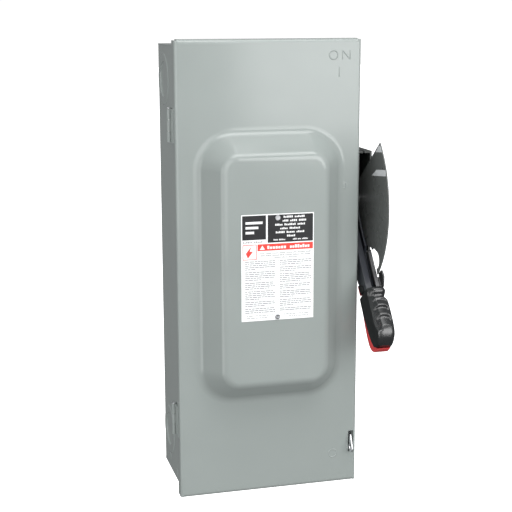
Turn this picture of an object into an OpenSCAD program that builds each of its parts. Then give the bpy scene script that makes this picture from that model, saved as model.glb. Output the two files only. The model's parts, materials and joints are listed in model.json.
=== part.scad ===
// Heavy-duty three-pole fused safety switch (AC disconnect box), side operated.
// Origin: centre of the wall-hole pattern on the back plane. +Z up, the door faces -Y.

/* [Enclosure] */
// Outside width of the folded box
body_w = 215; // [213:0.5:216]
// Height of the folded box without its end walls
body_h = 520; // [518:1:524]
// Depth from the wall to the front edge of the box
body_d = 105; // [104:0.5:105.5]
// Thickness of the enclosure sheet
sheet = 1.5; // [1.2:0.1:1.6]
// Distance between the wall holes across the box
wall_hole_dx = 150; // [140:1:160]
// Distance between the wall holes up the box
wall_hole_dz = 470; // [460:1:476]
// Radius of each wall hole
wall_hole_r = 3.6; // [3:0.1:4]
// Outer radius of the large conduit knockouts
knockout_r = 30; // [27:0.5:31]
// Height of the knockout steps
knockout_step = 0.5; // [0.3:0.1:0.6]

/* [Door] */
// Width over the door flanges
door_w = 220; // [219:0.5:221]
// Height over the door flanges
door_h = 540; // [538:1:541]
// Distance from the wall to the front of the door
door_front = 110; // [109.8:0.1:111]
// Depth of the door flanges
flange_d = 14.3; // [13.5:0.1:14.8]
// Height of the pressed panel above the door
emboss_h = 31; // [26:0.5:33]
// Half width of the pressed panel at its foot
emboss_foot_x = 85; // [80:1:88]
// Half height of the pressed panel at its foot
emboss_foot_z = 158; // [150:1:162]
// Half width of the flat top of the pressed panel
emboss_top_x = 61.5; // [56:0.5:64]
// Half height of the flat top of the pressed panel
emboss_top_z = 134.5; // [128:0.5:138]

/* [Handle] */
// Distance from the wall to the handle's shaft
shaft_back = 47; // [46:0.5:48]
// Height of the handle's shaft
shaft_z = 70; // [69:0.5:71]
// Angle of the handle forward of straight down when off
off_angle = 39; // [38:0.5:40]
// Radius of the half-moon dial plate
dial_r = 112; // [108:0.5:112]
// Inner face of the dial plate, across the box
dial_x = 128; // [127.5:0.1:128.4]
// Width of the grip across the box
grip_w = 22.4; // [20:0.2:22.4]

/* [Switch] */
// Distance between poles
pole_pitch = 50; // [49:0.5:51]
// Distance from the centre line to the middle pole
pole_mid_x = -14; // [-15:0.5:-13]
// Radius of each fuse body
fuse_r = 17; // [15:0.5:17]
// Length of each fuse body
fuse_len = 149; // [147:1:150]

/* [Hidden] */
$fn = 48;
hx = body_w / 2;               // outside of the side walls
hz = body_h / 2;               // ends of the folded box
door_hx = door_w / 2;
door_z0 = -272;                // bottom of the door
door_z1 = door_z0 + door_h;    // top of the door
emboss_z = 5;                  // height of the pressed panel's centre
slot_x = 103.4;                // centre of the latch slot
latch_x = 102.1;               // middle of the latch plate
slot_z0 = -234;
slot_z1 = -207;
hinge_x = -112.2;              // hinge axis
hinge_y = -86.5;
hinge_r = 2.6;                 // knuckle radius
hinge_pin_r = 1.4;
hinge_len = 38;
hinge_zs = [-198, 152.5];      // lower end of each hinge
knuckle_gap = 0.4;
run = 0.05;                    // running clearance of a shaft in its hole
sy = -shaft_back;
sz = shaft_z;
shaft_r = 8;                   // radius of the handle's shaft
shaft_x0 = 87.4;               // its inner end, clear of the toggle spring
crank_r = 18;                  // from a shaft to its crank pin
crank_pin_r = 3;
crank_a = 51;                  // crank pin forward of straight up when off
rotor_z = sz + 60;             // height of the blade rotor's axis
spring_z = sz - 60;            // height of the spring's anchor
crank_y = sy - crank_r * sin(crank_a);
crank_dz = crank_r * cos(crank_a);
poles = [for (i = [-1:1]) pole_mid_x + i * pole_pitch];
pan_y = -10;                   // front of the mounting pan
pan_z0 = -215;
pan_z1 = 226;
base_x0 = -92;                 // ends of the insulating bases
base_x1 = 66;
fuse_y = -62;                  // axis of the fuses
fuse_z1 = 30;                  // top of the fuse bodies
fuse_z0 = fuse_z1 - fuse_len;
blade_len = 22;                // fuse blade beyond the body
rotor_r = 7;                   // radius of the blade rotor's bar
ground_xs = [for (i = [0:3]) -50 + i * 18];    // wire holes of the ground bar
ground_z = -235;
latch_y = -80;                 // latch pivot
latch_z = -222;
frame_screw_zs = [6, 138];
// The interlock cam's ring runs in front of the door's hook while the handle is up.
// Its two ends are angles forward of straight up, with the handle on.
cam_lead = 55;
cam_trail = 104;
swing = 180 - 2 * off_angle;   // the handle's travel
spring_turns = 17;
spring_x = 81.5;
spring_dy = crank_y - sy;
spring_dz = sz + crank_dz - spring_z;
spring_len = norm([spring_dy, spring_dz]);
housing_x1 = 139;              // outside of the handle's housing
grip_s = 127.5;                // from the shaft to the top of the grip
grip_x0 = 111;                 // inner side of the grip
arm_x0 = 112;                  // sides of the handle's arm
arm_x1 = 125;
arm_t = 2.5;                   // thickness of its plates
flange_w = 7.5;                // width of the flange along its front
knockout_y = -33;              // knockouts of the side walls
knockout_zs = [221, -211];
knockout_disc = 0.67;          // radius of a knockout's disc over its ring's
end_knockouts = [[-55, 22], [0, 30], [55, 22]];
end_knockout_y = -55;

// ---- helpers ----
module block(x0, x1, y0, y1, z0, z1) {
    translate([x0, y0, z0]) cube([x1 - x0, y1 - y0, z1 - z0]);
}
// A cylinder along X, Y or Z between two stations
module rod_x(r, x0, x1, y, z) {
    translate([x0, y, z]) rotate([0, 90, 0]) cylinder(r = r, h = x1 - x0);
}
module rod_y(r, y0, y1, x, z) {
    translate([x, y1, z]) rotate([90, 0, 0]) cylinder(r = r, h = y1 - y0);
}
module rod_z(r, z0, z1, x, y) {
    translate([x, y, z0]) cylinder(r = r, h = z1 - z0);
}
// Extrudes a (y, z) outline along X, or an (x, z) outline along Y
module slab_x(x0, x1) {
    translate([x0, 0, 0]) rotate([90, 0, 90]) linear_extrude(x1 - x0) children();
}
module slab_y(y0, y1) {
    translate([0, y1, 0]) rotate([90, 0, 0]) linear_extrude(y1 - y0) children();
}
// Turns its children about the handle's shaft; zero is straight down, forward is positive
module at_handle(a = off_angle) {
    translate([0, sy, sz]) rotate([-a, 0, 0]) children();
}
// A bar with round ends from a shaft to a pin, in the (y, z) plane
module strap(r1, r2, y1, z1, y2, z2, x0, x1) {
    a = atan2(y2 - y1, z2 - z1);
    l = norm([y2 - y1, z2 - z1]);
    w = min(r1, r2);
    translate([0, y1, z1]) rotate([-a, 0, 0]) {
        rod_x(r1, x0, x1, 0, 0);
        rod_x(r2, x0, x1, 0, l);
        block(x0, x1, -w, w, 0, l);
    }
}
// A screw head with a slot, its face towards -Y
module slot_head_y(x, y, z, r, h) {
    difference() {
        rod_y(r, y - h, y, x, z);
        translate([x, y - h, z]) cube([2 * r + 1, h, r * 0.3], center = true);
    }
}

// ---- enclosure ----
// A raised ring with a sunk disc inside it, near each end of a side wall, and two small raised discs
module side_knockout_rings() {
    for (z = knockout_zs) difference() {
        rod_x(knockout_r, hx - 0.2, hx + knockout_step, knockout_y, z);
        rod_x(knockout_r * knockout_disc, hx - 1, hx + 1, knockout_y, z);
    }
    for (p = [[knockout_y, -247], [-75, -252]]) rod_x(5, hx - 0.2, hx + knockout_step, p[0], p[1]);
}
module side_knockout_discs() {
    for (z = knockout_zs) rod_x(knockout_r * knockout_disc, hx - knockout_step, hx + 1, knockout_y, z);
}
module box_wrapper() {
    color("slategray")
    difference() {
        union() {
            block(-hx, hx, -sheet, 0, -hz, hz);
            for (s = [0, 1]) mirror([s, 0, 0]) {
                block(hx - sheet, hx, -body_d, 0, -hz, hz);
                block(hx - 9, hx, -body_d, -body_d + sheet, -hz + 14, hz - 14);
                side_knockout_rings();
            }
        }
        for (s = [0, 1]) mirror([s, 0, 0]) side_knockout_discs();
        for (i = [-1, 1], j = [-1, 1])
            rod_y(wall_hole_r, -5, 5, i * wall_hole_dx / 2, j * wall_hole_dz / 2);
        // slits for the hinge tabs
        for (z0 = hinge_zs, k = [0, 2])
            block(-hx - 1, -hx + 2, hinge_y + 1, hinge_y + 2.9,
                knuckle_z(z0, k) - 0.3, knuckle_z(z0, k) + knuckle_h() + 0.3);
        // clearance round the latch and the handle's bushing
        block(hx - 10, hx - sheet, -body_d - 1, -body_d + 2, -246, -196);
        rod_x(13, hx - 3, hx + 1, sy, sz);
        for (p = housing_holes()) rod_x(2.2, hx - 3, hx + 1, p[0], p[1]);
    }
}
// An end wall lies above z = 0, with knockouts [x, radius] like those of the side walls
module end_wall() {
    difference() {
        union() {
            block(-hx, hx, -body_d, 0, 0, sheet);
            for (k = end_knockouts) difference() {
                rod_z(k[1], sheet - 0.2, sheet + knockout_step, k[0], end_knockout_y);
                rod_z(k[1] * knockout_disc, 0.5, sheet + 1, k[0], end_knockout_y);
            }
        }
        for (k = end_knockouts)
            rod_z(k[1] * knockout_disc, sheet - knockout_step, sheet + 1, k[0], end_knockout_y);
    }
    // folded edges that lap inside the wrapper
    for (s = [0, 1]) mirror([s, 0, 0])
        block(hx - 2 * sheet, hx - sheet, -body_d + sheet + 0.3, -sheet, -12, 0);
    block(-hx + 2 * sheet, hx - 2 * sheet, -body_d, -body_d + sheet, -12, 0);
}
module end_wall_top() {
    color("slategray") translate([0, 0, hz]) end_wall();
}
module end_wall_bottom() {
    color("slategray") translate([0, 0, -hz]) mirror([0, 0, 1]) end_wall();
}

// ---- hinges ----
function knuckle_h() = (hinge_len - 2 * knuckle_gap) / 3;
function knuckle_z(z0, k) = z0 + k * (knuckle_h() + knuckle_gap);
module knuckle(z0, k, bore_r) {
    difference() {
        union() {
            rod_z(hinge_r, knuckle_z(z0, k), knuckle_z(z0, k) + knuckle_h(), hinge_x, hinge_y);
            children();
        }
        rod_z(bore_r, z0 - 1, z0 + hinge_len + 1, hinge_x, hinge_y);
    }
}
module hinge_leaves_box() {
    color("silver")
    for (z0 = hinge_zs) {
        for (k = [0, 2]) knuckle(z0, k, hinge_pin_r)
            block(hinge_x + 0.6, -hx + sheet + 1, hinge_y + 1.4, hinge_y + 2.6,
                knuckle_z(z0, k), knuckle_z(z0, k) + knuckle_h());
        block(-hx + sheet, -hx + sheet + 1.2, hinge_y + 1.4, hinge_y + 20, z0, z0 + hinge_len);
    }
}
module hinge_pins() {
    color("silver") for (z0 = hinge_zs) {
        rod_z(hinge_pin_r, z0, z0 + hinge_len, hinge_x, hinge_y);
        rod_z(2.2, z0 + hinge_len, z0 + hinge_len + 1.2, hinge_x, hinge_y);
    }
}
module hinge_leaves_door() {
    color("silver") for (z0 = hinge_zs) {
        knuckle(z0, 1, hinge_pin_r + run)
            block(hinge_x + 1, -door_hx, -95, hinge_y - 1.5, knuckle_z(z0, 1),
                knuckle_z(z0, 1) + knuckle_h());
        block(-door_hx - 1.2, -door_hx, -101.5, -90, z0, z0 + hinge_len);
    }
}

// ---- latch ----
module latch_bracket() {
    color("lightgray") difference() {
        union() {
            block(hx - sheet - 1.5, hx - sheet, -98, -66, -244, -198);
            block(96.6, 98.1, -90, -66, -232, -212);
            block(96.6, hx - sheet, -67.5, -66, -232, -212);
        }
        rod_x(2.5, 90, hx, latch_y, latch_z);
    }
}
module latch_pin() {
    color("silver") {
        rod_x(2.5, 96.6, hx - sheet, latch_y, latch_z);
        rod_x(4, 95.2, 96.6, latch_y, latch_z);
    }
}
module latch_spring() {
    color("silver") {
        for (x = [99.6, 100.3]) translate([x, latch_y, latch_z]) rotate([0, 90, 0])
            rotate_extrude() translate([3.4, 0]) circle(0.4, $fn = 16);
        block(99.4, 100, latch_y + 3, -67.5, latch_z + 1, latch_z + 1.7);
    }
}
module latch_loop() {
    color("white") difference() {
        union() {
            rod_x(6.5, latch_x - 1.1, latch_x + 1.1, latch_y, latch_z);
            slab_x(latch_x - 1.1, latch_x + 1.1)
                polygon([[latch_y - 2, latch_z - 6], [-112, -232.8], [-117.5, -232.8], [-120.8, -230.8],
                    [-122, -227.5], [-120.8, -223.8], [-114.5, -210.5], [-112.6, -210],
                    [-112.6, -213], [-106, -214], [latch_y - 2, latch_z + 6]]);
        }
        rod_x(3.9, latch_x - 2, latch_x + 2, -115.4, -226.4);
        rod_x(2.5 + run, 90, hx, latch_y, latch_z);
    }
}

// ---- inside: pan, bases and current path ----
module mounting_pan() {
    color("gainsboro") {
        block(base_x0 - 4, base_x1 + 4, pan_y, pan_y + sheet, pan_z0, pan_z1);
        for (x = [base_x0 - 4, base_x1 + 4 - sheet])
            block(x, x + sheet, pan_y + sheet - 0.2, -sheet, pan_z0, pan_z1);
    }
}
module line_base() {
    color("firebrick") {
        block(base_x0, base_x1, -26, pan_y, 92, 224);
        for (i = [0:3]) block(poles[0] + (i - 0.5) * pole_pitch - 1.5,
            poles[0] + (i - 0.5) * pole_pitch + 1.5, -66, -26, 146, 222);
        // posts that carry the rotor
        for (x = [base_x0 + 3, base_x1 - 6]) difference() {
            block(x, x + 6, -58, -26, rotor_z - 14, rotor_z + 14);
            rod_x(rotor_r + run, x - 1, x + 7, sy, rotor_z);
        }
    }
}
module load_base() {
    color("firebrick") {
        block(base_x0, base_x1, -26, pan_y, -208, -112);
        for (i = [0:3]) block(poles[0] + (i - 0.5) * pole_pitch - 1.5,
            poles[0] + (i - 0.5) * pole_pitch + 1.5, -60, -26, -206, -140);
    }
}
module fuse_base() {
    color("firebrick") block(base_x0, base_x1, -26, pan_y, 8, 86);
}
module lug(x, z, up) {
    difference() {
        block(x - 11, x + 11, -50, -28, z, z + 26);
        rod_z(6.5, z - 1, z + 27, x, -38);
        rod_y(4, -51, -38, x, z + 13);
    }
    block(x - 9, x + 9, -28, -26, up ? z - 30 : z, up ? z + 26 : z + 62);
}
module line_lugs() {
    color("lightgray") for (x = poles) lug(x, 194, true);
}
module load_lugs() {
    color("lightgray") for (x = poles) lug(x, -200, false);
}
module lug_screws(z) {
    for (x = poles) difference() {
        rod_y(3.95, -55, -44.5, x, z + 13);
        translate([x, -55, z + 13]) rotate([90, 0, 0]) cylinder(r = 2.4, h = 6, center = true, $fn = 6);
    }
}
module line_lug_screws() {
    color("silver") lug_screws(194);
}
module load_lug_screws() {
    color("silver") lug_screws(-200);
}
// Two spring leaves either side of a blade, on a foot
module jaw(x, gap, y0, y1, z0, z1) {
    for (s = [-1, 1]) block(x + (s < 0 ? -gap - 1.6 : gap), x + (s < 0 ? -gap : gap + 1.6), y0, y1, z0, z1);
    block(x - gap - 1.6, x + gap + 1.6, y1 - 2, y1, z0, z1);
}
module line_jaws() {
    color("orange") for (x = poles) {
        jaw(x, 3.4, -56, -28, 150, 166);
        block(x - 5, x + 5, -28, -26, 150, 164);
    }
}
// Arc chute: two cheeks and a stack of splitter plates, notched for the blades
module arc_chutes() {
    color("dimgray") for (x = poles) {
        for (e = [-1, 1]) block(x + e * 11 - 1, x + e * 11 + 1, -90, -26, 144, 182);
        difference() {
            for (i = [0:5]) block(x - 10, x + 10, -88, -60, 152 + i * 5, 153.2 + i * 5);
            block(x - 4.6, x + 4.6, -84.4, -59, 140, 190);
        }
        block(x - 10, x + 10, -32, -30, 172, 180);
    }
}
module line_shield() {
    color("whitesmoke", 0.4) {
        block(base_x0, base_x1, -90, -88.5, 186, 230);
        for (x = [base_x0, base_x1 - sheet]) block(x, x + sheet, -88.5, -26, 186, 230);
    }
}
module hinge_contacts() {
    color("orange") for (x = poles) {
        for (s = [-1, 1]) difference() {
            block(x + s * 6 - 1, x + s * 6 + 1, -58, -27, rotor_z - 12, rotor_z + 12);
            rod_x(rotor_r + 0.6, x - 12, x + 12, sy, rotor_z);
        }
        block(x - 7, x + 7, -28, -26, fuse_z1 + 19, rotor_z + 12);
    }
}
module fuse_clip(z0, z1) {
    for (x = poles) {
        jaw(x, 1.6, fuse_y - 10, fuse_y + 12, z0, z1);
        block(x - 8, x + 8, fuse_y + 12, -26, z0 + 2, z1 - 2);
    }
}
module fuse_clips_upper() {
    color("orange") fuse_clip(fuse_z1 + 4, fuse_z1 + 21);
}
module fuse_clips_lower() {
    color("orange") fuse_clip(fuse_z0 - 21, fuse_z0 - 4);
}
module fuse_bodies() {
    color("tan") for (x = poles) rod_z(fuse_r, fuse_z0, fuse_z1, x, fuse_y);
}
module fuse_blades() {
    color("gold") for (x = poles) {
        block(x - 1.6, x + 1.6, fuse_y - 9.5, fuse_y + 9.5, fuse_z1, fuse_z1 + blade_len);
        block(x - 1.6, x + 1.6, fuse_y - 9.5, fuse_y + 9.5, fuse_z0 - blade_len, fuse_z0);
    }
}
module base_screws() {
    color("silver") for (x = [base_x0 + 11, base_x1 - 12], z = [218, 98, 78, 16, -118, -203])
        slot_head_y(x, -26, z, 4, 3);
}
module ground_bar() {
    color("lightgray") difference() {
        block(ground_xs[0] - 10, ground_xs[3] + 10, -16, -sheet, ground_z - 6, ground_z + 6);
        for (x = ground_xs) {
            rod_z(3, ground_z - 7, ground_z + 7, x, -9);
            rod_y(2.5, -17, -9, x, ground_z);
        }
    }
}
module ground_screws() {
    color("limegreen") for (x = ground_xs) {
        rod_y(2.5, -18, -12.5, x, ground_z);
        slot_head_y(x, -16, ground_z, 4.2, 2.6);
    }
}

// ---- inside: operating mechanism ----
module mechanism_frame() {
    color("lightgray") difference() {
        union() {
            slab_x(hx - sheet - 2, hx - sheet) translate([-50, 72]) square([62, 150], center = true);
            block(74, 76, -82, -22, -3, 147);
            block(74, hx - sheet, -21, -19, -3, 147);
            block(74, 76, -22, -20, -3, 147);
            block(hx - sheet - 2, hx - sheet, -22, -19, -3, 147);
        }
        rod_x(13, 95, hx, sy, sz);
        rod_x(rotor_r + run, 70, 90, sy, rotor_z);
        rod_x(3, 70, 90, sy, spring_z);
        for (z = frame_screw_zs) rod_y(3, -25, -15, 88, z);
        for (p = housing_holes()) rod_x(2.2, 100, hx, p[0], p[1]);
    }
}
module frame_screws() {
    color("silver") for (z = frame_screw_zs) {
        rod_y(3, -21, -sheet, 88, z);
        slot_head_y(88, -21, z, 5, 3);
    }
}
module spring_post() {
    color("silver") {
        rod_x(3, 74, 86, sy, spring_z);
        rod_x(4.4, 86, 87.2, sy, spring_z);
    }
}
module crank() {
    color("gray") {
        difference() {
            union() {
                rod_x(15, 98, 101, sy, sz);
                strap(9, 7, sy, sz, crank_y, sz + crank_dz, 98, 101);
            }
            rod_x(shaft_r, 90, 110, sy, sz);
        }
        rod_x(crank_pin_r, 78, 99, crank_y, sz + crank_dz);
    }
}
// A pie slice between two angles forward of straight up
module cam_sector(r, a0, a1) {
    polygon(concat([[0, 0]],
        [for (i = [0:8]) let (a = a0 + (a1 - a0) * i / 8) [-r * sin(a), r * cos(a)] * 1.2]));
}
module interlock_cam() {
    color("gold") translate([0, sy, sz]) difference() {
        slab_x(88, 92) {
            intersection() {
                difference() {
                    circle(56, $fn = 96);
                    circle(48.5, $fn = 96);
                }
                cam_sector(56, cam_lead + swing, cam_trail + swing);
            }
            intersection() {
                circle(50);
                cam_sector(56, cam_trail - 14 + swing, cam_trail + swing);
            }
            circle(24);
        }
        rod_x(shaft_r, 80, 100, 0, 0);
        rod_x(crank_pin_r, 80, 100, crank_y - sy, crank_dz);
    }
}
module drive_link() {
    color("silver") difference() {
        strap(7, 7, crank_y, sz + crank_dz, crank_y, rotor_z + crank_dz, 94.5, 97.5);
        rod_x(crank_pin_r + run, 90, 110, crank_y, sz + crank_dz);
        rod_x(crank_pin_r + run, 90, 110, crank_y, rotor_z + crank_dz);
    }
}
// Extension spring from the post to the crank pin, drawn as close turns
module toggle_spring() {
    color("silver") translate([spring_x, sy, spring_z]) rotate([-atan2(spring_dy, spring_dz), 0, 0]) {
        for (i = [0:spring_turns - 1])
            translate([0, 0, 12 + (spring_len - 24) * i / (spring_turns - 1)])
                rotate_extrude() translate([3.5, 0]) circle(1.5, $fn = 16);
        for (z = [0, spring_len]) translate([0, 0, z]) rotate([0, 90, 0]) rotate_extrude()
            translate([4.2, 0]) circle(1.1, $fn = 16);
        for (z = [4.2, spring_len - 12]) translate([0, 0, z]) cylinder(r = 1.1, h = 7.8);
    }
}

// ---- blade rotor ----
module blade_bars() {
    for (x = poles, e = [-1, 1]) translate([x + 1.9 * e, sy, rotor_z]) rotate([swing, 0, 0])
        block(-1.2, 1.2, -6.5, 6.5, 7.5, 42);
}
module crossbar() {
    color("saddlebrown") difference() {
        union() {
            rod_x(rotor_r, base_x0 + 4, 90, sy, rotor_z);
            for (x = poles) rod_x(11, x - 4, x + 4, sy, rotor_z);
        }
        blade_bars();
    }
}
module blades() {
    color("orange") blade_bars();
}
module rotor_lever() {
    color("silver") {
        strap(11, 7, sy, rotor_z, crank_y, rotor_z + crank_dz, 90, 93);
        rod_x(crank_pin_r, 92, 98, crank_y, rotor_z + crank_dz);
    }
}

// ---- handle on the side wall ----
function housing_holes() = [for (y = [-66, -28], z = [16, 124]) [y, z]];
module handle_housing() {
    color("black") difference() {
        union() {
            block(hx, hx + 2, -73, -21, 7, 133);
            for (z = [7, 130.5]) block(hx, housing_x1, -73, -21, z, z + 2.5);
            block(hx, housing_x1, -23.5, -21, 7, 133);
            block(housing_x1 - 2.5, housing_x1, -73, -21, 7, 133);
        }
        rod_x(13, hx - 1, hx + 3, sy, sz);
        rod_x(shaft_r + run, housing_x1 - 4, housing_x1 + 1, sy, sz);
        for (p = housing_holes()) rod_x(2.2, hx - 1, hx + 3, p[0], p[1]);
        // slit that holds the dial plate
        block(dial_x, dial_x + sheet, -74, -23.5, 130, 134);
    }
}
module housing_screws() {
    color("silver") for (p = housing_holes()) {
        rod_x(2.2, hx - 6, hx + 2, p[0], p[1]);
        rod_x(4, hx + 2, hx + 4, p[0], p[1]);
    }
}
module shaft_bushing() {
    color("dimgray") difference() {
        union() {
            rod_x(13, hx - 3.5, hx + 2, sy, sz);
            rod_x(15, hx + 2, hx + 3, sy, sz);
        }
        rod_x(shaft_r + run, hx - 5, hx + 5, sy, sz);
    }
}
module dial_plate() {
    color("dimgray") translate([0, sy, sz]) slab_x(dial_x, dial_x + sheet) dial_shape();
}
// Straight upper edge, arc, hooked lower tip and a notch where the arm rests
module dial_shape() {
    tip = 45.5;
    difference() {
        intersection() {
            circle(dial_r, $fn = 160);
            polygon([[23.5, 63], [-9, 63], [-9, 25], [-dial_r * sin(tip), dial_r * cos(tip)],
                [-180, 110], [-180, -90], [-dial_r * sin(tip), -dial_r * cos(tip)], [-76, -70],
                [-58, -50], [23.5, -50]]);
        }
        circle(shaft_r + 1);
        translate([-68, -62]) circle(12.5);
        translate([-74.5, -61.5]) circle(10.5);
    }
}
module dial_strips() {
    color("gainsboro") translate([0, sy, sz]) slab_x(dial_x - 0.3, dial_x) {
        intersection() {
            circle(dial_r - 0.6, $fn = 160);
            polygon([[-73, 70.4], [-78, 75], [-90, 74], [-90, 68.4], [-68, 66.2]]);
        }
        polygon([[-56, 37], [-102, 42], [-100.5, 49], [-72, 46]]);
    }
}
module handle_shaft() {
    color("silver") {
        rod_x(shaft_r, shaft_x0, housing_x1 + 1, sy, sz);
        rod_x(4, housing_x1 + 1, housing_x1 + 6, sy, sz);
    }
}
module shaft_nut() {
    color("silver") difference() {
        union() {
            rod_x(10, housing_x1 + 0.3, housing_x1 + 1.3, sy, sz);
            translate([housing_x1 + 1.3, sy, sz]) rotate([0, 90, 0]) cylinder(r = 8, h = 4, $fn = 6);
        }
        rod_x(shaft_r, housing_x1 - 1, housing_x1 + 1, sy, sz);
        rod_x(4, housing_x1, housing_x1 + 8, sy, sz);
    }
}
// Handle pieces are drawn along -Z from the shaft, front towards -Y, then turned to rest.
// The arm is a pair of plates. The inner one has an ear beside the grip and a flange along its front;
// the outer one ends above the grip's own ear.
module arm_inner() {
    color("black") at_handle() {
        for (inner = [true, false]) {
            x = inner ? arm_x0 : arm_x1 - arm_t;
            difference() {
                union() {
                    rod_x(14, x, x + arm_t, 0, 0);
                    slab_x(x, x + arm_t)
                        polygon(inner
                            ? [[-14, 0], [-9, -40], [-9, -grip_s], [-1, -grip_s], [-1, -120], [3, -117],
                                [12.5, -112], [14, -108], [14, -88], [9, -78], [9, -40], [14, 0]]
                            : [[-14, 0], [-9, -40], [-9, -70], [-3, -76], [-3, -grip_s], [-1, -grip_s],
                                [-1, -119.5], [3, -116.5], [9, -113.3], [9, -40], [14, 0]]);
                }
                rod_x(shaft_r, x - 1, x + arm_t + 1, 0, 0);
            }
        }
        block(arm_x0, arm_x0 + flange_w, -9, -9 + arm_t, -grip_s, -30);
    }
}
// Stay on the outer side of the arm, next to the dial plate
module arm_outer() {
    color("gray") at_handle() slab_x(arm_x1, arm_x1 + 2.2)
        polygon([[-14.5, -78], [-1, -75], [-1, -grip_s], [-14.5, -grip_s]]);
}
module grip_front() {
    color("black") at_handle() {
        slab_x(grip_x0, grip_x0 + grip_w)
            polygon([[-11, -grip_s], [-15.5, -129], [-18, -132], [-18, -135], [-15, -138.5], [-15, -141],
                [-19, -149], [-19.5, -160], [-19.5, -178], [-17.5, -188], [-13, -195], [19, -195],
                [19, -128.5], [17, -grip_s]]);
        // ear that laps over the side plate
        slab_x(grip_x0, arm_x1)
            polygon([[-1, -grip_s - 0.2], [-1, -120], [3, -117], [12.5, -112], [12.5, -125], [2, -125.5],
                [2, -grip_s - 0.2]]);
    }
}
module grip_back() {
    color("red") at_handle() {
        slab_x(grip_x0, grip_x0 + grip_w)
            polygon([[19, -128.5], [20.5, -131], [22, -150], [22, -190], [18, -198.5], [-9, -198.5],
                [-13, -195], [19, -195]]);
        slab_x(grip_x0, arm_x1) polygon([[12.5, -112.5], [15, -112], [15, -125], [12.5, -125]]);
    }
}
module grip_screws() {
    x = grip_x0 + grip_w;
    color("silver") at_handle() for (z = [-140, -182]) rod_x(3, x, x + 1.2, 4, z);
}
// Its flange turns in towards the stay, clear of the dial plate's rim
module lock_plate() {
    color("gray") at_handle() {
        slab_x(131, 132.8)
            polygon([[-9, -grip_s], [-15, -grip_s], [-22.4, -118.5], [-21.5, -110.5], [-19.5, -109],
                [-11, -108.7], [-9, -112]]);
        block(127.5, 131.1, -11, -9.2, -grip_s, -113.5);
    }
}

// ---- door ----
module emboss_solid(inset, y_foot) {
    foot_r = 42;
    top_r = 19;
    hull() {
        for (i = [-1, 1], j = [-1, 1]) {
            rod_y(foot_r - inset, y_foot - 0.1, y_foot, i * (emboss_foot_x - foot_r),
                emboss_z + j * (emboss_foot_z - foot_r), $fn = 32);
            rod_y(top_r - inset, -door_front - emboss_h + inset, -door_front - emboss_h + inset + 0.1,
                i * (emboss_top_x - top_r), emboss_z + j * (emboss_top_z - top_r), $fn = 32);
        }
    }
}
module embossed_marks() {
    y0 = -door_front - 0.6;
    y1 = -door_front + 0.2;
    for (p = [[76.4, 249.2], [80.4, -234]]) difference() {
        rod_y(5.7, y0, y1, p[0], p[1]);
        rod_y(4.5, y0 - 1, y1 + 1, p[0], p[1]);
    }
    for (x = [86.5, 95.7]) block(x, x + 1.2, y0, y1, 243.6, 254.9);
    slab_y(y0, y1) polygon([[86.5, 254.9], [88, 254.9], [96.9, 243.6], [95.4, 243.6]]);
    block(83, 84.2, y0, y1, 223.7, 236);
}
module door() {
    z0 = door_z0;
    z1 = door_z1;
    color("lightslategray") difference() {
        union() {
            block(-door_hx, door_hx, -door_front, -door_front + sheet, z0, z1);
            for (s = [0, 1]) mirror([s, 0, 0])
                block(door_hx - sheet, door_hx, -door_front, -door_front + flange_d, z0, z1);
            block(-door_hx + 5, door_hx - 5, -door_front, -door_front + flange_d, z1 - sheet, z1);
            block(-door_hx + 5, door_hx - 5, -door_front, -door_front + flange_d, z0, z0 + sheet);
            emboss_solid(0, -door_front + 0.1);
            embossed_marks();
        }
        emboss_solid(sheet, -door_front + sheet + 0.2);
        block(slot_x - 3.1, slot_x + 3.1, -door_front - 1, -door_front + 3, slot_z0, slot_z1);
        rod_y(2.3, -door_front - 1, -door_front + 3, 90.6, 97.9);
        for (p = rivet_spots()) rod_y(1.5, -door_front - 40, -door_front - 20, p[0], p[1]);
    }
}
module interlock_hook() {
    color("lightgray") {
        block(87, 98, -door_front + sheet, -107, 82, 94.5);
        block(94.5, 96.5, -107, -84, 84, 97);
        block(86, 94.5, -86.5, -84, 86, 95);
    }
}
function rivet_spots() = [[0.8, 68.7], [0.6, -47.3]];
module label_plate() {
    y = -door_front - emboss_h;
    color("white") difference() {
        slab_y(y - 0.3, y) translate([1, 11]) square([86, 124], center = true);
        for (p = rivet_spots()) rod_y(1.5, y - 1, y + 1, p[0], p[1]);
    }
}
module label_rivets() {
    y = -door_front - emboss_h;
    color("silver") for (p = rivet_spots()) {
        rod_y(1.5, y - 0.3, y + 3, p[0], p[1]);
        slot_head_y(p[0], y - 0.3, p[1], 3, 1.2);
    }
}
module wiring_sheet() {
    color("white") block(-60, 60, -door_front + sheet, -door_front + sheet + 0.3, 172, 252);
}

box_wrapper();
end_wall_top();
end_wall_bottom();
hinge_leaves_box();
hinge_pins();
latch_bracket();
latch_pin();
latch_spring();
mounting_pan();
line_base();
fuse_base();
load_base();
line_lugs();
line_lug_screws();
line_jaws();
arc_chutes();
line_shield();
hinge_contacts();
fuse_clips_upper();
fuse_clips_lower();
fuse_bodies();
fuse_blades();
load_lugs();
load_lug_screws();
base_screws();
ground_bar();
ground_screws();
mechanism_frame();
frame_screws();
spring_post();
handle_housing();
housing_screws();
shaft_bushing();
dial_plate();
dial_strips();
handle_shaft();
arm_inner();
arm_outer();
grip_front();
grip_back();
grip_screws();
lock_plate();
shaft_nut();
crank();
interlock_cam();
drive_link();
toggle_spring();
crossbar();
blades();
rotor_lever();
latch_loop();
door();
hinge_leaves_door();
interlock_hook();
label_plate();
label_rivets();
wiring_sheet();
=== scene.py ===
"""Looks of the safety switch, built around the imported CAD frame. Metres, +Z up, the door faces -Y."""
import json
import math
import random

import bmesh
import bpy
from mathutils import Matrix, Vector
from mathutils.geometry import delaunay_2d_cdt


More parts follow.
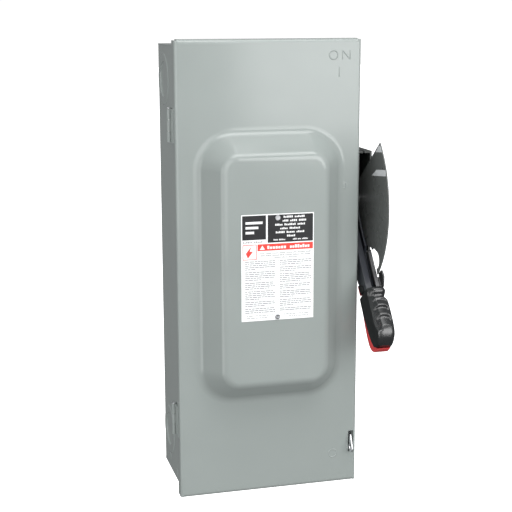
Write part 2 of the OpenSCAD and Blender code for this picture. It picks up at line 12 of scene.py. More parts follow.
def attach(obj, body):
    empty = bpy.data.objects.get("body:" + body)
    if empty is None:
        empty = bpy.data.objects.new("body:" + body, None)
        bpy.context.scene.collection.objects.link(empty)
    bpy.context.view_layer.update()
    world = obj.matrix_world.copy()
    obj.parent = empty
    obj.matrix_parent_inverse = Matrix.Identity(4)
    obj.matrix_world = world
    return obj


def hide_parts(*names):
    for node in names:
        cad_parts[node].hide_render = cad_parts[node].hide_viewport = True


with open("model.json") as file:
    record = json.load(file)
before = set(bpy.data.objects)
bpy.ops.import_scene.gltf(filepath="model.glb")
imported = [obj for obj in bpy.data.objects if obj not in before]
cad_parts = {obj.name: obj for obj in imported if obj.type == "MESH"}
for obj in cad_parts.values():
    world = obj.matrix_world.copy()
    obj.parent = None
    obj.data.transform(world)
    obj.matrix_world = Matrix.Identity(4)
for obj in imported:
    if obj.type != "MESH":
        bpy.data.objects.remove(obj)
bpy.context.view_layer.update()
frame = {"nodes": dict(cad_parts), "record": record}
MM = 0.001
PI = math.pi


# ---------------------------------------------------------------- camera, light, floor
def make_camera():
    """The eye stands left of the box and above it, looks slightly down, and has a long lens."""
    eye = Vector((-0.36227, -1.40366, 0.29301))
    yaw, pitch, roll = 0.26121, 0.20193, -0.00269
    forward = Vector((math.sin(yaw) * math.cos(pitch), math.cos(yaw) * math.cos(pitch), -math.sin(pitch)))
    right = Vector((math.cos(yaw), -math.sin(yaw), 0))
    up = right.cross(forward)
    right, up = (math.cos(roll) * right + math.sin(roll) * up,
                 math.cos(roll) * up - math.sin(roll) * right)
    data = bpy.data.cameras.new("camera")
    data.sensor_width = 36.0
    data.lens = 82.41
    data.clip_start, data.clip_end = 0.05, 200.0
    data.dof.use_dof = False
    cam = bpy.data.objects.new("camera", data)
    cam.matrix_world = Matrix((
        (right.x, up.x, -forward.x, eye.x),
        (right.y, up.y, -forward.y, eye.y),
        (right.z, up.z, -forward.z, eye.z),
        (0, 0, 0, 1)))
    bpy.context.scene.collection.objects.link(cam)
    bpy.context.scene.camera = cam


def softbox(name, azimuth, elevation, distance, size, power, colour=(1, 1, 1)):
    """A rectangular light seen from the door: azimuth to the right of straight ahead, elevation upwards."""
    a, e = math.radians(azimuth), math.radians(elevation)
    towards = Vector((math.sin(a) * math.cos(e), -math.cos(a) * math.cos(e), math.sin(e)))
    data = bpy.data.lights.new(name, "AREA")
    data.shape = "RECTANGLE"
    data.size, data.size_y = size
    data.energy = power
    data.color = colour
    lamp = bpy.data.objects.new(name, data)
    lamp.location = Vector((0, -0.1, 0)) + towards * distance
    lamp.rotation_mode = "QUATERNION"
    lamp.rotation_quaternion = (-towards).to_track_quat("-Z", "Y")
    bpy.context.scene.collection.objects.link(lamp)


def make_stage():
    world = bpy.data.worlds.new("studio")
    bpy.context.scene.world = world
    world.use_nodes = True
    tree = world.node_tree
    tree.nodes.clear()
    out = tree.nodes.new("ShaderNodeOutputWorld")
    ambient = tree.nodes.new("ShaderNodeBackground")
    backdrop = tree.nodes.new("ShaderNodeBackground")
    mix = tree.nodes.new("ShaderNodeMixShader")
    path = tree.nodes.new("ShaderNodeLightPath")
    coords = tree.nodes.new("ShaderNodeTexCoord")
    split = tree.nodes.new("ShaderNodeSeparateXYZ")
    dim = tree.nodes.new("ShaderNodeMath")
    final = tree.nodes.new("ShaderNodeMath")
    dim.operation = "MULTIPLY_ADD"
    dim.inputs[1].default_value = -0.6
    dim.inputs[2].default_value = 1.0
    final.operation = "MULTIPLY"
    ramp = tree.nodes.new("ShaderNodeMapRange")
    backdrop.inputs["Color"].default_value = (1, 1, 1, 1)
    backdrop.inputs["Strength"].default_value = 1.05
    ambient.inputs["Color"].default_value = (0.97, 0.99, 1.0, 1)
    ramp.interpolation_type = "SMOOTHSTEP"
    ramp.inputs["From Min"].default_value = -0.8
    ramp.inputs["From Max"].default_value = 0.9
    ramp.inputs["To Min"].default_value = 0.40
    ramp.inputs["To Max"].default_value = 0.74
    link = tree.links.new
    link(coords.outputs["Generated"], split.inputs[0])
    link(split.outputs["Z"], ramp.inputs["Value"])
    link(path.outputs["Is Glossy Ray"], dim.inputs[0])
    link(ramp.outputs["Result"], final.inputs[0])
    link(dim.outputs[0], final.inputs[1])
    link(final.outputs[0], ambient.inputs["Strength"])
    link(path.outputs["Is Camera Ray"], mix.inputs["Fac"])
    link(ambient.outputs[0], mix.inputs[1])
    link(backdrop.outputs[0], mix.inputs[2])
    link(mix.outputs[0], out.inputs["Surface"])

    floor_mesh = bpy.data.meshes.new("floor")
    reach, low = 45.0, -1.7
    corners = [(-reach, -reach, low), (reach, -reach, low), (reach, reach, low), (-reach, reach, low)]
    floor_mesh.from_pydata(corners, [], [(0, 1, 2, 3)])
    floor = bpy.data.objects.new("floor", floor_mesh)
    bpy.context.scene.collection.objects.link(floor)
    pale = bpy.data.materials.new("pale_floor")
    pale.use_nodes = True
    shader = pale.node_tree.nodes["Principled BSDF"]
    shader.inputs["Base Color"].default_value = (0.93, 0.93, 0.93, 1)
    shader.inputs["Roughness"].default_value = 0.9
    shader.inputs["Emission Color"].default_value = (1, 1, 1, 1)
    shader.inputs["Emission Strength"].default_value = 1.05
    floor_mesh.materials.append(pale)
    floor.visible_diffuse = False
    floor.visible_glossy = False

    softbox("fill_left", -25, 12, 2.4, (1.9, 2.0), 22)
    softbox("key_right", 30, 15, 2.2, (1.35, 1.35), 25)
    softbox("overhead", 14, 61, 2.2, (1.7, 0.9), 20)
    softbox("strip_left", -66, -5, 2.2, (0.95, 1.8), 10)
    softbox("top_sheen", 34, 80, 2.2, (1.2, 1.1), 8)


# ---------------------------------------------------------------- materials
class Graph:
    """Short-hand for building a material's nodes."""

    def __init__(self, name):
        self.material = bpy.data.materials.new(name)
        self.material.use_nodes = True
        self.tree = self.material.node_tree
        self.shader = self.tree.nodes["Principled BSDF"]

    def node(self, kind, **settings):
        made = self.tree.nodes.new(kind)
        for key, value in settings.items():
            setattr(made, key, value)
        return made

    def link(self, a, b):
        self.tree.links.new(a, b)

    def set(self, **values):
        for key, value in values.items():
            self.shader.inputs[key.replace("_", " ")].default_value = value

    def coords(self, scale=(1, 1, 1)):
        """The object's own coordinates, in metres times scale."""
        source = self.node("ShaderNodeTexCoord")
        mapping = self.node("ShaderNodeMapping")
        mapping.inputs["Scale"].default_value = scale
        self.link(source.outputs["Object"], mapping.inputs["Vector"])
        return mapping.outputs["Vector"]

    def noise(self, vector, scale, detail=3.0, rough=0.55):
        made = self.node("ShaderNodeTexNoise")
        made.inputs["Scale"].default_value = scale
        made.inputs["Detail"].default_value = detail
        made.inputs["Roughness"].default_value = rough
        self.link(vector, made.inputs["Vector"])
        return made.outputs["Fac"]

    def ramp(self, value, stops):
        made = self.node("ShaderNodeValToRGB")
        elements = made.color_ramp.elements
        while len(elements) > 1:
            elements.remove(elements[-1])
        elements[0].position, elements[0].color = stops[0][0], (*stops[0][1], 1)
        for place, colour in stops[1:]:
            elements.new(place).color = (*colour, 1)
        self.link(value, made.inputs["Fac"])
        return made.outputs["Color"]

    def spread(self, value, low, high):
        """Maps a 0.3 to 0.7 noise value to a range."""
        made = self.node("ShaderNodeMapRange")
        made.inputs["From Min"].default_value = 0.3
        made.inputs["From Max"].default_value = 0.7
        made.inputs["To Min"].default_value = low
        made.inputs["To Max"].default_value = high
        self.link(value, made.inputs["Value"])
        return made.outputs["Result"]

    def bump(self, height, distance, strength=1.0, before=None):
        made = self.node("ShaderNodeBump")
        made.inputs["Strength"].default_value = strength
        made.inputs["Distance"].default_value = distance
        self.link(height, made.inputs["Height"])
        if before is not None:
            self.link(before, made.inputs["Normal"])
        return made.outputs["Normal"]


def shade(colour, factor):
    return tuple(c * factor for c in colour)


def paint(name, colour, rough=(0.12, 0.16), peel=0.000008, coat=0.0):
    """Sprayed or powder-coated sheet: faint cloudiness, orange peel and fine grain."""
    g = Graph(name)
    at = g.coords()
    cloud = g.noise(at, 9.0, 2.0)
    tones = [(0.3, shade(colour, 0.975)), (0.7, shade(colour, 1.025))]
    g.link(g.ramp(cloud, tones), g.shader.inputs["Base Color"])
    g.link(g.spread(g.noise(at, 30.0, 2.0), *rough), g.shader.inputs["Roughness"])
    fine = g.bump(g.noise(at, 1400.0, 2.0), peel * 0.5, 0.5)
    g.link(g.bump(g.noise(at, 380.0, 1.5), peel, 0.6, fine), g.shader.inputs["Normal"])
    g.set(Specular_IOR_Level=0.5, Coat_Weight=coat, Coat_Roughness=0.15)
    return g.material


def plated(name, colour, rough=(0.22, 0.38), streak=(40, 40, 900), depth=0.000012, worn=0.85):
    """Plated or bare metal with rolling or drawing streaks and a cloudy tone."""
    g = Graph(name)
    at = g.coords()
    fine = g.noise(g.coords(streak), 1.0, 3.0)
    cloud = g.noise(at, 45.0, 4.0)
    g.link(g.ramp(cloud, [(0.25, shade(colour, worn)), (0.6, colour), (0.8, shade(colour, 1.06))]),
           g.shader.inputs["Base Color"])
    g.link(g.spread(g.noise(at, 70.0, 3.0), *rough), g.shader.inputs["Roughness"])
    g.link(g.bump(fine, depth, 0.6), g.shader.inputs["Normal"])
    g.set(Metallic=1.0)
    return g.material


def moulded(name, colour, rough=(0.32, 0.42), grain=600.0, depth=0.00003, sheen=0.0, specular=0.5):
    """Moulded plastic: fine texture, slight tone drift and flow marks."""
    g = Graph(name)
    at = g.coords()
    drift = g.noise(at, 25.0, 3.0)
    tones = [(0.3, shade(colour, 0.9)), (0.7, shade(colour, 1.12))]
    g.link(g.ramp(drift, tones), g.shader.inputs["Base Color"])
    g.link(g.spread(g.noise(at, 60.0, 2.0), *rough), g.shader.inputs["Roughness"])
    g.link(g.bump(g.noise(at, grain, 2.0), depth, 0.5), g.shader.inputs["Normal"])
    g.set(Specular_IOR_Level=specular, Sheen_Weight=sheen)
    return g.material


def fibre(name, colour, speck, scale=220.0):
    """Glass-polyester or vulcanised fibre: chopped strands under a matt skin."""
    g = Graph(name)
    at = g.coords((1, 1, 0.35))
    strands = g.node("ShaderNodeTexVoronoi", feature="DISTANCE_TO_EDGE")
    strands.inputs["Scale"].default_value = scale
    g.link(at, strands.inputs["Vector"])
    g.link(g.ramp(strands.outputs["Distance"], [(0.0, speck), (0.09, colour), (0.5, shade(colour, 1.15))]),
           g.shader.inputs["Base Color"])
    g.link(g.spread(g.noise(at, 90.0, 3.0), 0.5, 0.68), g.shader.inputs["Roughness"])
    g.link(g.bump(g.noise(at, 420.0, 3.0), 0.00006, 0.5), g.shader.inputs["Normal"])
    return g.material


def paper_tube(name):
    """Fuse body: a spiral-wound tube with a varnished skin."""
    g = Graph(name)
    at = g.coords()
    wave = g.node("ShaderNodeTexWave", wave_type="BANDS", bands_direction="DIAGONAL")
    wave.inputs["Scale"].default_value = 34.0
    wave.inputs["Distortion"].default_value = 1.0
    g.link(at, wave.inputs["Vector"])
    winding = [(0.0, (0.50, 0.40, 0.24)), (0.12, (0.66, 0.55, 0.36)), (1.0, (0.70, 0.59, 0.40))]
    g.link(g.ramp(wave.outputs["Fac"], winding), g.shader.inputs["Base Color"])
    g.link(g.bump(wave.outputs["Fac"], 0.00006, 0.5), g.shader.inputs["Normal"])
    g.link(g.spread(g.noise(at, 80.0), 0.35, 0.5), g.shader.inputs["Roughness"])
    return g.material


def clear_sheet(name):
    g = Graph(name)
    at = g.coords()
    g.link(g.ramp(g.noise(at, 30.0), [(0.3, (0.82, 0.88, 0.90)), (0.7, (0.90, 0.94, 0.95))]),
           g.shader.inputs["Base Color"])
    g.link(g.spread(g.noise(at, 60.0), 0.06, 0.16), g.shader.inputs["Roughness"])
    g.set(Alpha=0.32, IOR=1.58, Specular_IOR_Level=0.6)
    return g.material


def print_film(name, colour, rough=(0.28, 0.36)):
    """A printed or plastic film: nearly even, with a faint ink mottle."""
    g = Graph(name)
    at = g.coords()
    g.link(g.ramp(g.noise(at, 500.0, 2.0), [(0.3, shade(colour, 0.96)), (0.7, shade(colour, 1.02))]),
           g.shader.inputs["Base Color"])
    g.link(g.spread(g.noise(at, 120.0), *rough), g.shader.inputs["Roughness"])
    g.link(g.bump(g.noise(at, 900.0), 0.00001, 0.4), g.shader.inputs["Normal"])
    return g.material


PAINT = (0.270, 0.298, 0.287)
MATERIALS = {
    "enclosure_paint": paint("enclosure_paint", PAINT),
    "bright_zinc": plated("bright_zinc", (0.80, 0.81, 0.83)),
    "yellow_zinc": plated("yellow_zinc", (0.72, 0.58, 0.30), worn=0.75),
    "spring_wire": plated("spring_wire", (0.45, 0.45, 0.46), rough=(0.3, 0.45)),
    "base_polyester": fibre("base_polyester", (0.27, 0.062, 0.040), (0.34, 0.13, 0.10)),
    "rotor_phenolic": fibre("rotor_phenolic", (0.075, 0.035, 0.022), (0.12, 0.07, 0.05), 300.0),
    "copper": plated("copper", (0.83, 0.50, 0.34), rough=(0.2, 0.42), worn=0.7),
    "aluminium": plated("aluminium", (0.80, 0.81, 0.82), rough=(0.28, 0.4)),
    "green_screw": plated("green_screw", (0.07, 0.36, 0.13), rough=(0.25, 0.4)),
    "chute_fibre": fibre("chute_fibre", (0.075, 0.072, 0.07), (0.13, 0.12, 0.11), 260.0),
    "clear_shield": clear_sheet("clear_shield"),
    "fuse_body": paper_tube("fuse_body"),
    "black_housing": moulded("black_housing", (0.030, 0.032, 0.030), rough=(0.36, 0.48), specular=0.5),
    # black_arm carries painted shade: the arm metal, which the outer arm shows in grey, is drawn near-black
    # and bluish on the inner arm and web, as it looks in the box's shadow
    "black_arm": paint("black_arm", (0.016, 0.019, 0.026), rough=(0.28, 0.36)),
    "grey_arm": plated("grey_arm", (0.135, 0.135, 0.138), rough=(0.45, 0.6)),
    "black_grip": moulded("black_grip", (0.010, 0.011, 0.012), rough=(0.22, 0.30), depth=0.000006,
                          specular=1.0),
    "red_grip": moulded("red_grip", (0.50, 0.040, 0.042), rough=(0.35, 0.45)),
    # pale_film on the dial strips is painted highlight: pale strips standing in for patches of light and
    # reflection on the dial plate's inner face
    "pale_film": print_film("pale_film", (0.62, 0.63, 0.64)),
    "label_film": print_film("label_film", (0.93, 0.94, 0.94)),
    "paper": print_film("paper", (0.80, 0.80, 0.77), rough=(0.6, 0.75)),
}
DIAL_PAINT = paint("dial_paint", (0.105, 0.110, 0.107), rough=(0.24, 0.32))
INK = {
    "ink_black": print_film("ink_black", (0.018, 0.018, 0.02)),
    "ink_red": print_film("ink_red", (0.78, 0.055, 0.04)),
    "ink_grey": print_film("ink_grey", (0.30, 0.30, 0.31)),
    "ink_white": print_film("ink_white", (0.85, 0.85, 0.85)),
}


# ---------------------------------------------------------------- building helpers (all in millimetres)
NODES = frame["nodes"]
SLOT_OF = {part["node"]: part["material_slot"] for part in frame["record"]["subparts"]}
BODY_OF = {node: body for body, nodes in frame["record"]["behaviour"]["bodies"].items() for node in nodes}
DONE = set()


def to_object(name, bm, scale=MM):
    bmesh.ops.scale(bm, vec=(scale, scale, scale), verts=bm.verts)
    mesh = bpy.data.meshes.new(name)
    bm.to_mesh(mesh)
    bm.free()
    for face in mesh.polygons:
        face.use_smooth = True
    obj = bpy.data.objects.new(name, mesh)
    bpy.context.scene.collection.objects.link(obj)
    return obj


def soften(obj, width, segments=2, angle=40):
    """Rounds the edges a little and keeps the flat faces flat in the light."""
    if width:
        edge = obj.modifiers.new("edges", "BEVEL")
        edge.width = width * MM
        edge.segments = segments
        edge.limit_method = "ANGLE"
        edge.angle_limit = math.radians(angle)
    normals = obj.modifiers.new("normals", "WEIGHTED_NORMAL")
    normals.keep_sharp = True


def settle(obj, slot, body, nodes=(), material=None):
    """Gives a finished piece its finish and its body, in place of the CAD nodes that it stands for."""
    if not obj.data.materials:
        obj.data.materials.append(material or MATERIALS[slot])
    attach(obj, body)
    if nodes:
        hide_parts(*nodes)
        DONE.update(nodes)
    return obj


def crisp(node, width=0.4, segments=2, angle=35, material=None):
    """A CAD node with its edges rounded."""
    source = NODES[node].data
    bm = bmesh.new()
    verts = [bm.verts.new(v.co) for v in source.vertices]
    for face in source.polygons:
        bm.faces.new([verts[i] for i in face.vertices])
    bmesh.ops.remove_doubles(bm, verts=bm.verts, dist=0.005 * MM)
    bmesh.ops.dissolve_limit(bm, angle_limit=math.radians(0.5), verts=bm.verts, edges=bm.edges)
    obj = to_object(node + "_detail", bm, 1)
    soften(obj, width, segments, angle)
    return settle(obj, SLOT_OF[node], BODY_OF[node], [node], material)


def arc(cx, cy, r, start, end, n):
    return [(cx + r * math.cos(math.radians(start + (end - start) * i / n)),
             cy + r * math.sin(math.radians(start + (end - start) * i / n))) for i in range(n + 1)]


def ring(cx, cy, r, n=48):
    return arc(cx, cy, r, 0, 360, n)[:-1]


def rounded(cx, cy, hx, hy, r, n=12):
    """A rectangle's outline with round corners."""
    return [p for k, (i, j) in enumerate(((1, 1), (-1, 1), (-1, -1), (1, -1)))
            for p in arc(cx + i * (hx - r), cy + j * (hy - r), r, 90 * k, 90 * k + 90, n)]


def inside(point, loop):
    x, y = point
    hit = False
    for (x0, y0), (x1, y1) in zip(loop, loop[1:] + loop[:1]):
        if (y0 > y) != (y1 > y) and x < x0 + (y - y0) * (x1 - x0) / (y1 - y0):
            hit = not hit
    return hit


def curve(stops, at):
    """A smooth line through (position, value) stops."""
    if at <= stops[0][0]:
        return stops[0][1]
    for i in range(len(stops) - 1):
        (x0, y0), (x1, y1) = stops[i], stops[i + 1]
        if at <= x1:
            break
    else:
        return stops[-1][1]
    before, after = stops[max(i - 1, 0)], stops[min(i + 2, len(stops) - 1)]
    m0 = (y1 - before[1]) / (x1 - before[0]) * (x1 - x0)
    m1 = (after[1] - y0) / (after[0] - x0) * (x1 - x0)
    t = (at - x0) / (x1 - x0)
    return ((2 * t**3 - 3 * t**2 + 1) * y0 + (t**3 - 2 * t**2 + t) * m0
            + (3 * t**2 - 2 * t**3) * y1 + (t**3 - t**2) * m1)


class Sheet:
    """One folded and pressed sheet, drawn by its outer face. A place turns (u, v, height) into x, y, z."""

    def __init__(self):
        self.bm = bmesh.new()

    def flat(self, place, outline, holes=(), height=0.0):
        points, edges = [], []
        for loop in (outline, *holes):
            first = len(points)
            points += [Vector(p) for p in loop]
            edges += [(first + i, first + (i + 1) % len(loop)) for i in range(len(loop))]
        corners, _, faces, *_ = delaunay_2d_cdt(points, edges, [], 0, 1e-6)
        made = [self.bm.verts.new(place(c.x, c.y, height)) for c in corners]
        for face in faces:
            middle = sum((corners[i] for i in face), Vector((0, 0))) / 3
            if inside(middle, outline) and not any(inside(middle, hole) for hole in holes):
                self.bm.faces.new([made[i] for i in face])

    def rows(self, rows, closed=False):
        made = [[self.bm.verts.new(p) for p in row] for row in rows]
        count = len(rows[0])
        for a, b in zip(made, made[1:]):
            for i in range(count if closed else count - 1):
                j = (i + 1) % count
                self.bm.faces.new((a[i], a[j], b[j], b[i]))
        return made

    def press(self, place, cx, cy, profile, filled=True):
        """A round feature pressed into the sheet. It returns its outline, to leave out of the flat."""
        self.rows([[place(x, y, h) for x, y in ring(cx, cy, r)] for r, h in profile], True)
        if filled:
            self.flat(place, ring(cx, cy, profile[-1][0]), height=profile[-1][1])
        return ring(cx, cy, profile[0][0])

    def done(self, name, slot, body, nodes, facing, thickness=1.5):
        bm = self.bm
        bmesh.ops.remove_doubles(bm, verts=bm.verts, dist=0.01)
        bmesh.ops.delete(bm, geom=[v for v in bm.verts if not v.link_faces], context="VERTS")
        bmesh.ops.recalc_face_normals(bm, faces=bm.faces)
        biggest = max(bm.faces, key=lambda face: face.calc_area())
        if biggest.normal.dot(Vector(facing)) < 0:
            bmesh.ops.reverse_faces(bm, faces=bm.faces)
        obj = to_object(name, bm)
        wall = obj.modifiers.new("wall", "SOLIDIFY")
        wall.thickness = thickness * MM
        wall.offset = -1
        wall.use_even_offset = True
        soften(obj, 0.22, 2, 60)
        return settle(obj, slot, body, nodes)


def slab(name, place, outline, low, high, bevel, slot, body, nodes=(), segments=3, material=None):
    """An outline with a thickness and round edges."""
    bm = bmesh.new()
    caps = [[bm.verts.new(place(u, v, h)) for u, v in outline] for h in (low, high)]
    count = len(outline)
    for i in range(count):
        j = (i + 1) % count
        bm.faces.new((caps[0][i], caps[0][j], caps[1][j], caps[1][i]))
    bm.faces.new(caps[0])
    bm.faces.new(caps[1])
    bmesh.ops.recalc_face_normals(bm, faces=bm.faces)
    obj = to_object(name, bm)
    soften(obj, bevel, segments, 30)
    return settle(obj, slot, body, nodes, material)


def tube(name, path, radius, slot, body, nodes=(), sides=10):
    """A round wire along a path, with closed ends."""
    bm = bmesh.new()
    points = [Vector(p) for p in path]
    rings = []
    normal = None
    for i, point in enumerate(points):
        along = (points[min(i + 1, len(points) - 1)] - points[max(i - 1, 0)]).normalized()
        if normal is None:
            normal = along.orthogonal().normalized()
        normal = (normal - along * normal.dot(along)).normalized()
        other = along.cross(normal)
        rings.append([bm.verts.new(point + radius * (math.cos(a) * normal + math.sin(a) * other))
                      for a in (2 * PI * k / sides for k in range(sides))])
    for a, b in zip(rings, rings[1:]):
        for k in range(sides):
            bm.faces.new((a[k], a[(k + 1) % sides], b[(k + 1) % sides], b[k]))
    bm.faces.new(rings[0])
    bm.faces.new(rings[-1])
    bmesh.ops.recalc_face_normals(bm, faces=bm.faces)
    return settle(to_object(name, bm), slot, body, nodes)


def bead(name, place, path, half_width, height, closed=False):
    """A raised stroke with a smooth section, as if pressed from behind the sheet."""
    bm = bmesh.new()
    count = len(path)
    rows = []
    for i, (x, y) in enumerate(path):
        ahead = path[(i + 1) % count] if closed else path[min(i + 1, count - 1)]
        behind = path[i - 1] if closed else path[max(i - 1, 0)]
        along = Vector((ahead[0] - behind[0], ahead[1] - behind[1])).normalized()
        side = Vector((-along.y, along.x))
        taper = 1.0 if closed else min(1.0, math.sqrt(max(0.0, 1 - (1 - min(i, count - 1 - i) / 2) ** 2))
                                       if min(i, count - 1 - i) < 2 else 1.0)
        row = []
        for k in range(-4, 5):
            off = side * (half_width * max(taper, 0.05) * k / 4)
            lift = height * taper * (0.5 + 0.5 * math.cos(PI * k / 4)) - 0.02
            row.append(bm.verts.new(place(x + off.x, y + off.y, lift)))
        row += [bm.verts.new(place(x + off.x * f, y + off.y * f, -0.3)) for f in (1, -1)]
        rows.append(row)
    width = len(rows[0])
    for a, b in zip(rows, rows[1:] + rows[:1] if closed else rows[1:]):
        for k in range(width):
            bm.faces.new((a[k], a[(k + 1) % width], b[(k + 1) % width], b[k]))
    if not closed:
        bm.faces.new(rows[0])
        bm.faces.new(rows[-1])
    bmesh.ops.recalc_face_normals(bm, faces=bm.faces)
    return settle(to_object(name, bm), "enclosure_paint", "door")


# ---------------------------------------------------------------- door
def on_door(x, z, h=0.0):
    return (x, -110 - h, z)


BUTTON_SPOT = (90.6, 97.9)  # centre of the release button on the door, across and up


def make_door():
    sheet = Sheet()
    hx, z0, z1, flange = 110.0, -272.0, 268.0, -95.7
    side_r, end_r = 3.2, 5.0
    end, flat_x = 106.4, hx - side_r
    foot, top = 14.0, 12.0
    slope = math.atan2(31, 23.5)
    profile = []
    for i in range(9):
        a = slope * i / 8
        t = foot * math.tan(slope / 2)
        profile.append((-t + foot * math.sin(a), foot * (1 - math.cos(a))))
    for i in range(9):
        a = slope * (1 - i / 8)
        t = top * math.tan(slope / 2)
        profile.append((23.5 + t - top * math.sin(a), 31 - top * (1 - math.cos(a))))

    def loop(d):
        return rounded(0, 5, 85 - d, 158 - d, 42 - d, 14)

    sheet.rows([[on_door(x, z, h) for x, z in loop(d)] for d, h in profile], True)
    sheet.flat(on_door, loop(profile[-1][0]), height=31)
    collar = [(4.4, 0), (4.0, 0.08), (3.5, 0.26), (2.9, 0.3), (2.45, 0.16), (2.3, -0.3)]
    hole = sheet.press(on_door, *BUTTON_SPOT, collar, filled=False)
    slot = rounded(103.4, -220.5, 3.1, 13.5, 0.8, 3)
    low, high = z0 + 1.2, z1 - 1.2
    outline = [(-flat_x, low), (-end, low), (-end, z0 + end_r), (end, z0 + end_r), (end, low),
               (flat_x, low), (flat_x, high), (end, high), (end, z1 - end_r), (-end, z1 - end_r),
               (-end, high), (-flat_x, high)]
    sheet.flat(on_door, outline, [loop(profile[0][0]), hole, slot])
    for s in (-1, 1):
        section = [(flat_x + b, -110 + side_r - a) for a, b in arc(0, 0, side_r, 0, 90, 8)] + [(hx, flange)]
        sheet.rows([[(s * x, y, low), (s * x, y, high)] for x, y in section])
    for edge, s in ((z0, -1), (z1, 1)):
        section = [(edge - s * (end_r - b), -110 + end_r - a) for a, b in arc(0, 0, end_r, 0, 90, 10)]
        section += [(edge, flange)]
        sheet.rows([[(-end, y, z), (end, y, z)] for z, y in section])
    sheet.done("door_sheet", "enclosure_paint", "door", ["door"], (0, -1, 0))

    button = Sheet()
    button.press(on_door, *BUTTON_SPOT, [(2.22, -2.2), (2.22, 0.02), (1.9, 0.2), (1.2, 0.28)])
    button.flat(on_door, ring(*BUTTON_SPOT, 2.22), height=-2.2)
    bm = button.bm
    bmesh.ops.remove_doubles(bm, verts=bm.verts, dist=0.01)
    bmesh.ops.recalc_face_normals(bm, faces=bm.faces)
    settle(to_object("release_button", bm), "enclosure_paint", "door")

    def stroke(x0, z0, x1, z1, n=14):
        return [(x0 + (x1 - x0) * i / n, z0 + (z1 - z0) * i / n) for i in range(n + 1)]

    bead("mark_on_ring", on_door, ring(76.4, 249.2, 5.0, 40), 0.9, 0.55, closed=True)
    bead("mark_off_ring", on_door, ring(80.4, -234, 5.0, 40), 0.9, 0.45, closed=True)
    bead("mark_on_left", on_door, stroke(87.1, 243.6, 87.1, 254.9), 0.8, 0.5)
    bead("mark_on_right", on_door, stroke(96.3, 243.6, 96.3, 254.9), 0.8, 0.5)
    bead("mark_on_slant", on_door, stroke(87.4, 254.4, 96.0, 244.1), 0.75, 0.45)
    bead("mark_on_bar", on_door, stroke(83.6, 223.7, 83.6, 236), 0.9, 0.55)


# ---------------------------------------------------------------- box
# Radius and height of each ring, from the sheet's face outwards
KNOCKOUT = [(30.6, 0), (30.1, 0.25), (29.5, 0.75), (28.9, 0.9), (21.1, 0.9), (20.6, 0.7), (20.1, 0),
            (19.7, -0.6), (19.2, -0.8)]
SMALL_DISC = [(5.3, 0), (5.0, 0.12), (4.7, 0.42), (4.3, 0.5)]
HINGE_ZS = (-198.0, 152.5)


def make_box():
    sheet = Sheet()
    r, half, flange_z = 2.0, 260.0, 246.3
    bend = arc(0, 0, r, 0, 90, 4)
    for s in (-1, 1):
        def wall(y, z, h=0.0, s=s):
            return (s * (107.5 + h), y, z)

        holes = [sheet.press(wall, -33, z, KNOCKOUT) for z in (221, -211)]
        holes += [sheet.press(wall, y, z, SMALL_DISC) for y, z in ((-33, -247), (-75, -252))]
        low = -flange_z
        if s < 0:
            for z in HINGE_ZS:
                for k in (0, 2):
                    z0 = z + k * 12.8
                    holes.append(rounded(-84.55, z0 + 6.2, 0.95, 6.5, 0.3, 2))
        else:
            low = -196.0
            holes.append(ring(-47, 70, 13))
        outline = [(-105, -half), (-r, -half), (-r, half), (-105, half), (-105, flange_z),
                   (-105 + r, flange_z), (-105 + r, low), (-105, low)]
        sheet.flat(wall, outline, holes)
        front = [(107.5 - r + a, -105 + r - b) for a, b in bend] + [(98.5, -105)]
        sheet.rows([[(s * x, y, low), (s * x, y, flange_z)] for x, y in front])
        corner = [(s * (107.5 - r + a), -r + b) for a, b in bend]
        sheet.rows([[(x, y, -half), (x, y, half)] for x, y in corner])

    def back(x, z, h=0.0):
        return (x, h, z)

    sheet.flat(back, [(-105.5, -half), (105.5, -half), (105.5, half), (-105.5, half)],
               [ring(x, z, 3.6, 32) for x in (-75, 75) for z in (-235, 235)])
    sheet.done("box_sheet", "enclosure_paint", "box", ["box_wrapper"], (0, 1, 0))


# ---------------------------------------------------------------- printed label
class Print:
    """Thin printed shapes on a film or a sheet of paper."""

    def __init__(self, place, seed):
        self.place = place
        self.inks = {}
        self.chance = random.Random(seed)

    def shape(self, ink, points, rise=0.03):
        bm = self.inks.setdefault(ink, bmesh.new())
        top = [bm.verts.new(self.place(u, v, rise)) for u, v in points]
        low = [bm.verts.new(self.place(u, v, -0.02)) for u, v in points]
        for i in range(len(points)):
            j = (i + 1) % len(points)
            bm.faces.new((top[i], top[j], low[j], low[i]))
        bm.faces.new(top)
        bm.faces.new(low)

    def bar(self, ink, x0, y0, x1, y1, rise=0.03):
        self.shape(ink, [(x0, y0), (x1, y0), (x1, y1), (x0, y1)], rise)

    def band(self, ink, outer, inner, rise=0.03):
        """A closed outline with a width, as separate sides."""
        for i in range(len(outer)):
            j = (i + 1) % len(outer)
            self.shape(ink, [outer[i], outer[j], inner[j], inner[i]], rise)

    def words(self, ink, x0, x1, y, height, long=(2.0, 6.5), gap=0.8, centred=False, rise=0.03, block=0.0):
        """A row of bars that stands for a printed line. With block, each bar is broken into small blocks."""
        spans, x = [], x0
        while x < x1 - long[0]:
            end = min(x + self.chance.uniform(*long), x1)
            spans.append((x, end))
            x = end + gap
        shift = (x1 - spans[-1][1]) / 2 if centred and spans else 0
        for a, b in spans:
            if not block:
                self.bar(ink, a + shift, y, b + shift, y + height, rise)
                continue
            count = max(1, round((b - a) / block))
            step = (b - a) / count
            for k in range(count):
                left = a + shift + k * step
                cut = self.chance.choice((0, 0, 0.22, 0.3)) * height
                self.bar(ink, left, y + cut, left + step * 0.76, y + height, rise)

    def done(self, name, slot, body):
        for ink, bm in self.inks.items():
            bmesh.ops.recalc_face_normals(bm, faces=bm.faces)
            obj = to_object(name + "_" + ink, bm)
            for face in obj.data.polygons:
                face.use_smooth = False
            settle(obj, slot, body, material=INK[ink])


